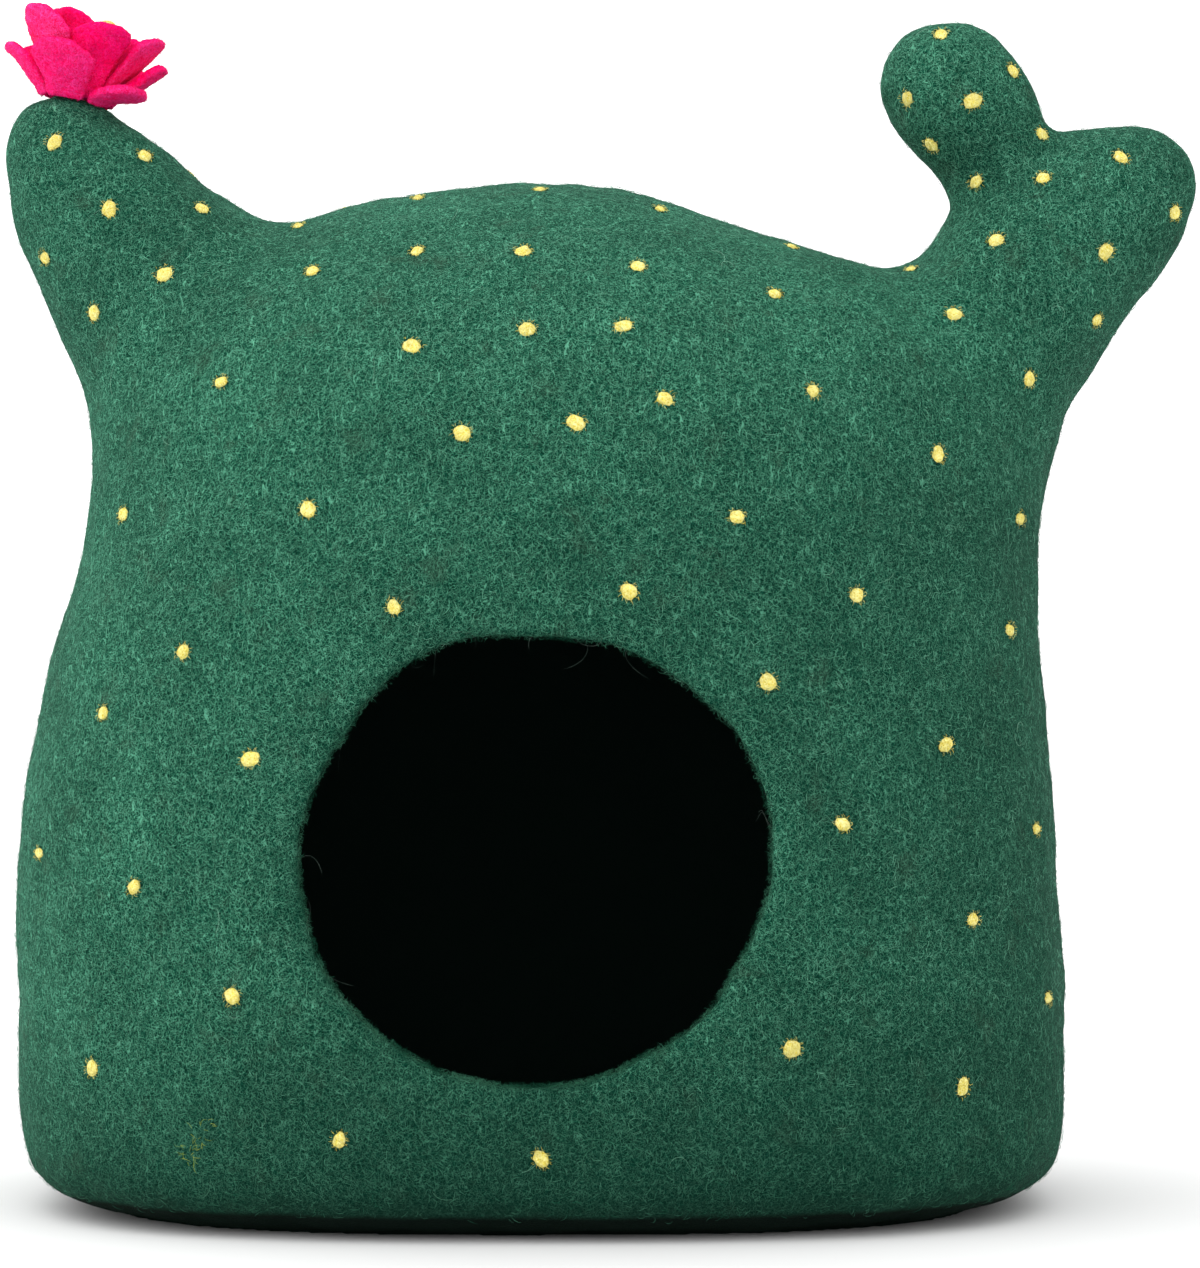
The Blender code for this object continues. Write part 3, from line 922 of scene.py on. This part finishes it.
def ring_of_fibres(name, spots, material, count, start, length, radius, lift):
    """Short fibres that point out all round each tuft, from start times its own outline."""
    places, normals, angles = [], [], []
    for place, normal, long_way, short_way in spots:
        turns = (np.arange(count) + rng.random(count) * 0.8) * 2 * math.pi / count
        facing = np.array([normal] * count)
        out = np.outer(np.cos(turns), long_way) + np.outer(np.sin(turns), short_way)
        u, v = side_vectors(facing, np.zeros(count))
        places.append(np.array(place) + out * between(*start, count)[:, None])
        normals.append(facing)
        outward = np.arctan2((out * v).sum(axis=1), (out * u).sum(axis=1))
        angles.append(outward + between(-TUFT_FIBRE_SLANT, TUFT_FIBRE_SLANT, count))
    total = count * len(spots)
    return make_strands(
        name, material, np.concatenate(places), np.concatenate(normals), between(*length, total),
        between(*radius, total), between(*lift, total), np.zeros(total),
        between(-TUFT_FIBRE_CURL, TUFT_FIBRE_CURL, total), np.concatenate(angles),
    )


def make_tufts(places):
    points, spots = [], []
    for number, place in enumerate(places):
        normal = smooth_normal(place)
        radius, stretch, along, across = tuft_frame(place, normal)
        points.append(tuft_points(place, normal, number, radius, stretch, along, across))
        spots.append((place, normal, along * radius * stretch, across * radius / stretch))
    mesh = joined_copies("needled_tufts", np.array(points), tuft_faces())
    yield new_object("needled_tufts", mesh, YELLOW), "yellow_felt"
    fibres = ring_of_fibres(
        "tuft_fibres", spots, YELLOW_FIBRE, TUFT_FIBRES, start=(0.66, 0.94), length=(0.0012, 0.0025),
        radius=(0.00005, 0.00009), lift=(0.0006, 0.0010),
    )
    yield fibres, "yellow_felt"
    # Dark felt fibres round each tuft, which also serve as painted shade round it.
    halo = ring_of_fibres(
        "tuft_halo", spots, HALO_SHADE_FIBRE, HALO_FIBRES, start=(0.84, 0.97), length=(0.0009, 0.0016),
        radius=(0.00014, 0.00026), lift=(0.0001, 0.0003),
    )
    yield halo, "green_felt"


seen_places = list(photo_places())
for piece, slot in make_tufts(seen_places + list(hidden_places(seen_places))):
    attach(piece, "root")


# ---------------------------------------------------------------- loose fibres

def make_fuzz():
    """The shell's fibres. On the doorway's rim the short ones are denser low down, the hairs higher up."""
    outside = np.clip(1.0 - inner * 2.5, 0.0, 1.0)
    heights = vertex_array(shell.data)[:, 2]
    outside[heights < FUZZ_LOWEST] = 0.0
    for number in range(1, FUZZ_PIECES + 1):
        place, normal = scatter(shell.data, FUZZ_EACH, outside)
        yield fuzz(
            f"wool_fuzz_{number}", place, normal, GREEN_FIBRE, length=(0.0022, 0.0064),
            radius=(0.00004, 0.00009), lift=(0.0003, 0.0009), standing=0.3, curl=1.9,
        )
    rim = np.clip((doorway_facing(shell.data) - 0.5) * 2.5, 0.0, 1.0)
    upper = np.clip((heights - DOORWAY[1]) / DOORWAY_RADIUS, -1.0, 1.0)
    place, normal = scatter(shell.data, RIM_FUZZ, rim * (1 - 0.6 * upper))
    yield fuzz(
        "rim_fuzz", place, normal, RIM_SHADED_FIBRE, length=(0.0014, 0.0046), radius=(0.00004, 0.00008),
        lift=(0.0004, 0.0021), standing=0.6, curl=2.4,
    )
    place, normal = scatter(shell.data, RIM_HAIRS, rim * (1.2 + upper))
    yield fuzz(
        "rim_hairs", place, normal, RIM_SHADED_HAIR, length=(0.010, 0.024), radius=(0.00004, 0.00006),
        lift=(0.002, 0.009), standing=1.0, curl=5.0, segments=9,
    )
    place, normal = scatter(shell.data, LONG_HAIRS, outside)
    yield fuzz(
        "loose_hairs", place, normal, PALE_HAIR, length=(0.006, 0.015), radius=(0.00005, 0.00008),
        lift=(0.0005, 0.0013), standing=0.2, curl=4.5, segments=9, tree=shell_tree,
    )


def make_wisps():
    """Stray yellow-green fibres that a tuft's needling left in the felt."""
    places, normals = [], []
    for column, row, count in WISPS:
        for across, down in rng.normal(0.0, WISP_SPREAD, (count, 2)):
            place, normal, _, _ = shell_tree.ray_cast(CAMERA_AT, pixel_ray(column + across, row + down))
            places.append(place)
            normals.append(normal)
    return fuzz(
        "yellow_wisps", np.array(places), np.array(normals), WISP_FIBRE, length=(0.002, 0.006),
        radius=(0.00005, 0.00009), lift=(0.0004, 0.0009), standing=0.2, curl=2.6, tree=shell_tree,
    )


def make_petal_fuzz(petal):
    """Fibres that stand up from a petal, most of them on its pale outer side."""
    worn = np.empty(len(petal.data.vertices), dtype=np.float32)
    petal.data.attributes[PALE_SIDE].data.foreach_get("value", worn)
    place, normal = scatter(petal.data, PETAL_FUZZ, worn + PETAL_FUZZ_EVEN)
    return fuzz(
        petal.name.replace("felt_petal", "petal_fuzz"), place, normal, PINK_FIBRE, length=(0.0010, 0.0022),
        radius=(0.00005, 0.00009), lift=(0.0001, 0.0004), standing=0.5, curl=2.2,
    )


for piece in (*make_fuzz(), make_wisps()):
    kept_above(piece, FLOOR_CLEAR)
    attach(piece, "root")

for petal in petals:
    piece = make_petal_fuzz(petal)
    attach(piece, "root")


# ---------------------------------------------------------------- stage, light and camera

def make_stage():
    r = FLOOR_REACH
    corners = np.array([(-r, -r, 0), (r, -r, 0), (r, r, 0), (-r, r, 0)], dtype=float)
    m = Material("white_floor")
    tone = m.grey(m.ramp(m.noise(2.0, 1.0), 0.0, 1.0, *FLOOR_TONE))
    m.fill(m.shader, {"Base Color": tone, "Roughness": 0.9, "Specular IOR Level": 0.1})
    floor = new_object("floor", mesh_from("floor", corners, np.array([[0, 1, 2, 3]])), m.material)
    floor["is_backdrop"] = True


def make_light():
    """A white studio that shines evenly from all round, more from the left, the front and above."""
    world = bpy.data.worlds.new("studio")
    world.use_nodes = True
    tree = world.node_tree
    toward = tree.nodes.new("ShaderNodeVectorMath")
    toward.operation = "DOT_PRODUCT"
    tree.links.new(tree.nodes.new("ShaderNodeTexCoord").outputs["Generated"], toward.inputs[0])
    toward.inputs[1].default_value = BRIGHT_WAY
    strength = tree.nodes.new("ShaderNodeMath")
    strength.operation = "ADD"
    tree.links.new(toward.outputs["Value"], strength.inputs[0])
    strength.inputs[1].default_value = STUDIO_STRENGTH
    tree.links.new(strength.outputs[0], tree.nodes["Background"].inputs["Strength"])
    tree.nodes["Background"].inputs["Color"].default_value = (1.0, 1.0, 1.0, 1.0)
    bpy.context.scene.world = world


def make_camera():
    data = bpy.data.cameras.new("photo_camera")
    data.sensor_fit = "HORIZONTAL"
    data.sensor_width = SENSOR_WIDTH
    data.lens = SENSOR_WIDTH * FOCAL_PIXELS / PHOTO_WIDTH
    data.clip_start = 0.05
    data.clip_end = 100.0
    camera = bpy.data.objects.new("photo_camera", data)
    camera.location = CAMERA_AT
    camera.rotation_euler = (math.pi / 2, 0.0, 0.0)
    bpy.context.scene.collection.objects.link(camera)
    bpy.context.scene.camera = camera


make_stage()
make_light()
make_camera()
bpy.context.scene.view_settings.view_transform = "Standard"

boxes = {"cad": CAD_BOX, "visual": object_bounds()}
{key: [list(corner) for corner in box] for key, box in boxes.items()}
